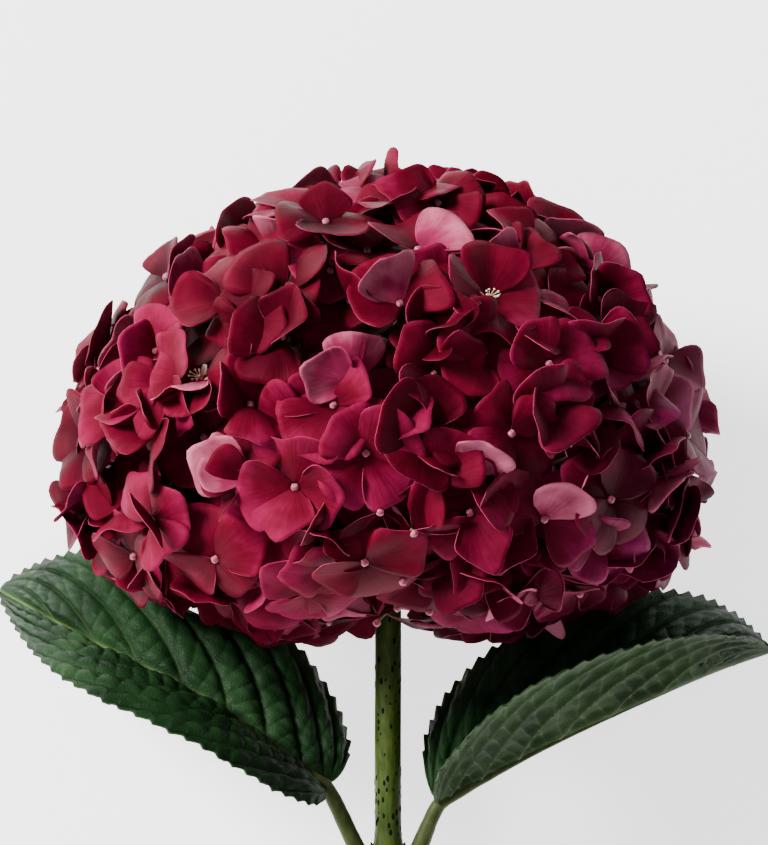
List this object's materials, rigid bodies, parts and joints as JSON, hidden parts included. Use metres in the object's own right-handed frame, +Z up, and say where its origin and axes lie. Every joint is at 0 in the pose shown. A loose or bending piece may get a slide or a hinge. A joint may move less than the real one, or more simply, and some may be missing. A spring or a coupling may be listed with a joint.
{
  "type": "cut mophead hydrangea",
  "caption": "Cut mophead hydrangea lying on its back: a domed head of crimson florets on branching stalks, one slender green stem and a pair of folded, toothed leaves.",
  "frame": {"origin": "middle of the footprint, on the surface that the flower lies on", "axes": "+Y along the length, from the cut end of the stem towards the crown; +Z up, out of the front of the head; +X across the flower, to the right seen from above with the crown at the top"},
  "size_m": [0.2466, 0.3796, 0.1842],
  "materials": {
    "sepals": "velvety, matt",
    "stalks": "matt",
    "stem": "satin",
    "leaves": "satin, waxy above and matt below"
  },
  "bodies": {
    "root": {"stem": "stem", "ray_01": "stalks", "ray_02": "stalks", "ray_03": "stalks", "ray_04": "stalks", "ray_05": "stalks", "ray_06": "stalks", "ray_07": "stalks", "ray_08": "stalks", "floret_cluster_01": "sepals", "floret_cluster_02": "sepals", "floret_cluster_03": "sepals", "floret_cluster_04": "sepals", "floret_cluster_05": "sepals", "floret_cluster_06": "sepals", "floret_cluster_07": "sepals", "floret_cluster_08": "sepals", "floret_cluster_09": "sepals", "floret_cluster_10": "sepals", "floret_cluster_11": "sepals", "floret_cluster_12": "sepals", "floret_cluster_13": "sepals", "floret_cluster_14": "sepals", "floret_cluster_15": "sepals", "floret_cluster_16": "sepals", "floret_cluster_17": "sepals", "floret_cluster_18": "sepals", "floret_cluster_19": "sepals", "floret_cluster_20": "sepals", "floret_cluster_21": "sepals", "floret_cluster_22": "sepals", "floret_cluster_23": "sepals", "floret_cluster_24": "sepals", "floret_cluster_25": "sepals", "floret_cluster_26": "sepals", "floret_cluster_27": "sepals", "floret_cluster_28": "sepals", "floret_cluster_29": "sepals", "floret_cluster_30": "sepals", "floret_cluster_31": "sepals", "floret_cluster_32": "sepals", "floret_cluster_33": "sepals", "floret_cluster_34": "sepals", "floret_cluster_35": "sepals", "floret_cluster_36": "sepals", "floret_cluster_37": "sepals", "floret_cluster_38": "sepals", "floret_cluster_39": "sepals", "floret_cluster_40": "sepals", "floret_cluster_41": "sepals", "floret_cluster_42": "sepals", "floret_cluster_43": "sepals", "floret_cluster_44": "sepals", "floret_cluster_45": "sepals", "floret_cluster_46": "sepals", "floret_cluster_47": "sepals", "floret_cluster_48": "sepals", "leaf_left": "leaves", "leaf_right": "leaves"}
  },
  "joints": []
}
